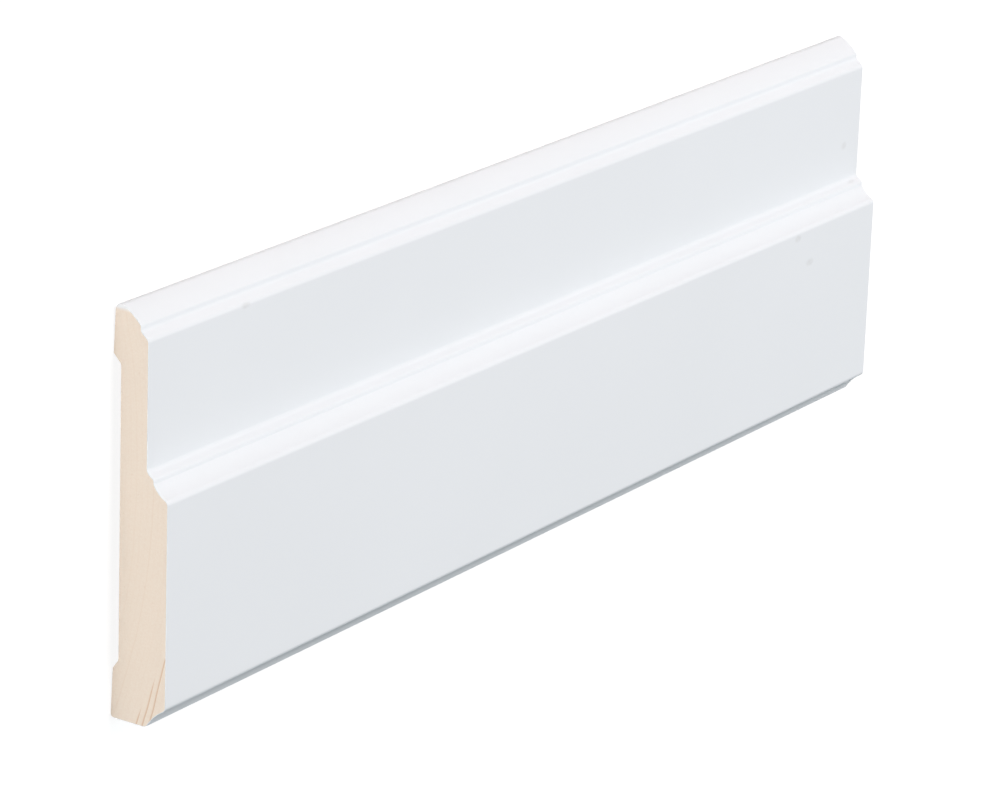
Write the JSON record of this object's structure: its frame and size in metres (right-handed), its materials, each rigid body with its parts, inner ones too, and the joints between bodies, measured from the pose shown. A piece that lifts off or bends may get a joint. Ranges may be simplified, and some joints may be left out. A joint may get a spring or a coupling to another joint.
{
  "type": "door casing moulding",
  "caption": "Straight length of white-painted wooden door casing with a stepped moulded face, a coved thick edge, a rounded thin edge, square-cut ends and a relieved back.",
  "frame": {"origin": "centre of the length and width, on the wall plane that the two back lips touch", "axes": "+X along the length, +Y across the width from the thick coved edge to the thin rounded edge, +Z out of the moulded face"},
  "size_m": [0.3, 0.095, 0.015],
  "materials": {
    "painted_pine": "satin white paint on the face and long edges, bare pine on the cut ends and the back"
  },
  "bodies": {
    "root": {"casing_moulding": "painted_pine"}
  },
  "joints": []
}
